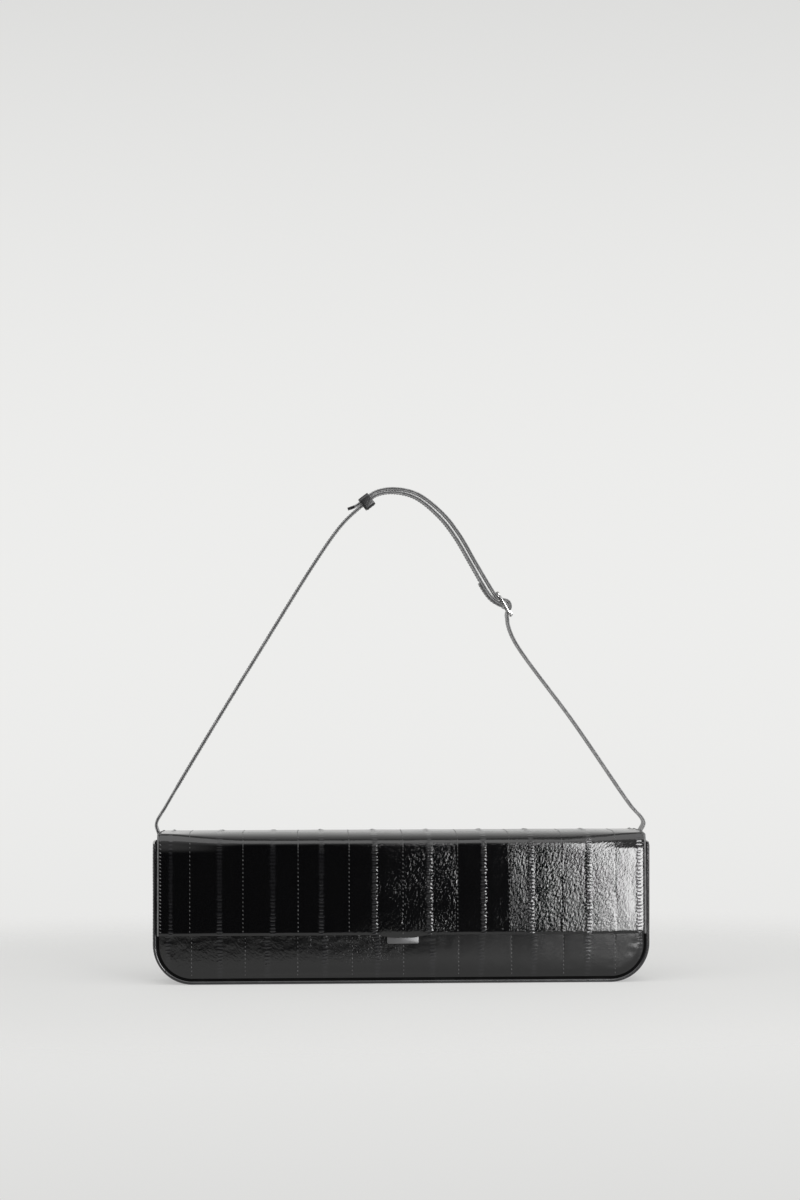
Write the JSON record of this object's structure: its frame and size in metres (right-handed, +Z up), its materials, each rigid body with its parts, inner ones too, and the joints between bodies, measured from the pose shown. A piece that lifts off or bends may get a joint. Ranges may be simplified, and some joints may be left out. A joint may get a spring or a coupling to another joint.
{
  "type": "clutch bag",
  "caption": "Slim rectangular flap clutch in glossy black striped leather, with a hidden magnetic closure, a small metal clasp plate and an adjustable buckled shoulder strap.",
  "frame": {"origin": "on the floor under the middle of the body, at the middle of the base's flat underside", "axes": "+X to the right as the front is seen, +Y from the front to the back, +Z up"},
  "size_m": [0.3412, 0.0464, 0.3399],
  "materials": {
    "shell_leather": "glossy, wrinkled along strips about 36 mm wide, with stitched strip seams",
    "strap_leather": "glossy, with stitched and painted edges",
    "board": "plain stiffening board, hidden",
    "lining": "matt suede cloth",
    "metal": "dark polished, brushed on the clasp plate",
    "magnet": "plated, hidden"
  },
  "bodies": {
    "bag": {"front_panel": "shell_leather", "back_panel": "shell_leather", "front_board": "board", "back_board": "board", "base_board": "board", "left_gusset": "shell_leather", "right_gusset": "shell_leather", "base_gusset": "shell_leather", "front_piping": "shell_leather", "back_piping": "shell_leather", "lining": "lining", "slip_pocket": "lining", "front_magnet": "magnet", "flap_root": "shell_leather", "left_strap_end": "strap_leather", "right_strap_end": "strap_leather", "left_end_rivet": "metal", "right_end_rivet": "metal"},
    "flap_top": {"flap_top": "shell_leather", "flap_top_lining": "lining"},
    "flap_front": {"flap_front": "shell_leather", "flap_board": "board", "flap_front_lining": "lining", "flap_magnet": "magnet", "clasp_plate": "metal", "clasp_rivet_left": "metal", "clasp_rivet_right": "metal"},
    "strap": {"buckle_strap": "strap_leather", "hole_strap": "strap_leather", "buckle_frame": "metal"},
    "prong": {"buckle_prong": "metal"},
    "keeper": {"sliding_keeper": "strap_leather"}
  },
  "joints": [
    {"name": "flap_back_fold", "type": "hinge", "parent": "bag", "child": "flap_top", "pos_m": [0, 0.011, 0.1045], "axis": [-1, 0, 0], "range_deg": [0, 52]},
    {"name": "flap_front_fold", "type": "hinge", "parent": "flap_top", "child": "flap_front", "pos_m": [0, -0.0238, 0.0935], "axis": [-1, 0, 0], "range_deg": [0, 120], "stiffness_Nm_per_rad": 0.01, "springref_deg": -17.19},
    {"name": "strap_swing", "type": "hinge", "parent": "bag", "child": "strap", "pos_m": [0, 0.01, 0.112], "axis": [-1, 0, 0], "range_deg": [0, 80]},
    {"name": "prong_tilt", "type": "hinge", "parent": "strap", "child": "prong", "pos_m": [0.0727, 0.01, 0.2579], "axis": [0, -1, 0], "range_deg": [0, 20]},
    {"name": "keeper_slide", "type": "slide", "parent": "strap", "child": "keeper", "axis": [0.7934, 0, 0.6088], "range_m": [-0.004, 0.004]}
  ]
}
